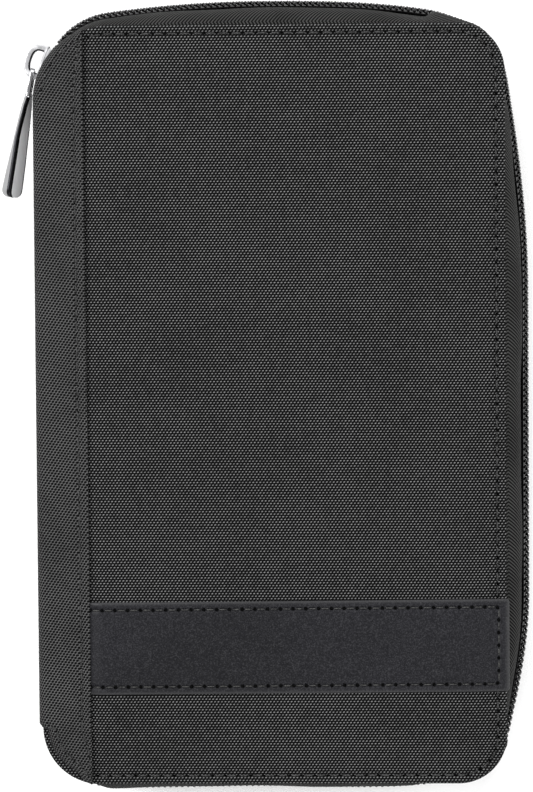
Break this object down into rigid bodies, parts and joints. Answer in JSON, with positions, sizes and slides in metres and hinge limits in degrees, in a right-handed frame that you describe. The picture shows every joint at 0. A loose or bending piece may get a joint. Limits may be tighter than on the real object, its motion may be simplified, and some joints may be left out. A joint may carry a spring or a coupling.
{
  "type": "passport wallet",
  "caption": "Slim zip-around fabric travel wallet with two padded covers, a folding spine, a passport pocket, card slots, a clear window and a leatherette band.",
  "frame": {"origin": "middle of the back cover's outer face, which the wallet lies on", "axes": "+X from the spine to the opening side, +Y up the cover to the end where the closed zip slider stands, +Z through the thickness from the back cover to the front cover"},
  "size_m": [0.1378, 0.2093, 0.0259],
  "materials": {
    "woven_fabric": "matt dotted weave, charcoal black",
    "zip_tape": "herringbone tape, black",
    "lining": "fine plain weave, dark grey",
    "leatherette": "fine pebble grain, satin black",
    "board": "matt stiffener board",
    "coil_nylon": "smooth black nylon",
    "clear_vinyl": "clear flexible vinyl",
    "chrome": "polished"
  },
  "bodies": {
    "back_cover": {"back_panel": "woven_fabric", "back_spine_strip": "woven_fabric", "back_board": "board", "back_lining": "lining", "back_slip_pocket": "lining", "back_zip_tape": "zip_tape", "back_coil": "coil_nylon", "passport_pocket": "lining"},
    "spine": {"spine_panel": "woven_fabric", "spine_board": "board", "spine_lining": "lining", "zip_end_top": "zip_tape", "zip_end_bottom": "zip_tape"},
    "front_cover": {"front_panel": "woven_fabric", "front_spine_strip": "woven_fabric", "front_board": "board", "front_lining": "lining", "front_slip_pocket": "lining", "front_zip_tape": "zip_tape", "front_coil": "coil_nylon", "accent_band": "leatherette", "card_slot_1": "lining", "card_slot_2": "lining", "card_slot_3": "lining", "card_slot_4": "lining", "id_window": "clear_vinyl"},
    "slider": {"slider_body": "chrome"},
    "pull": {"pull_tab": "chrome"}
  },
  "joints": [
    {"name": "spine_fold", "type": "hinge", "parent": "back_cover", "child": "spine", "pos_m": [-0.0613, 0, 0], "axis": [0, -1, 0], "range_deg": [0, 90]},
    {"name": "front_fold", "type": "hinge", "parent": "spine", "child": "front_cover", "pos_m": [-0.0613, 0, 0.025], "axis": [0, -1, 0], "range_deg": [0, 90]},
    {"name": "slider_travel", "type": "hinge", "parent": "spine", "child": "slider", "pos_m": [-0.04, 0.0835, 0.0125], "axis": [0, 0, -1], "range_deg": [0, 60]},
    {"name": "pull_swing", "type": "hinge", "parent": "slider", "child": "pull", "pos_m": [-0.06214, 0.08817, 0.0125], "axis": [0, 0, -1], "range_deg": [0, 120]}
  ],
  "couplings": [
    {"joint": "front_fold", "follows": "spine_fold", "ratio": 1}
  ]
}
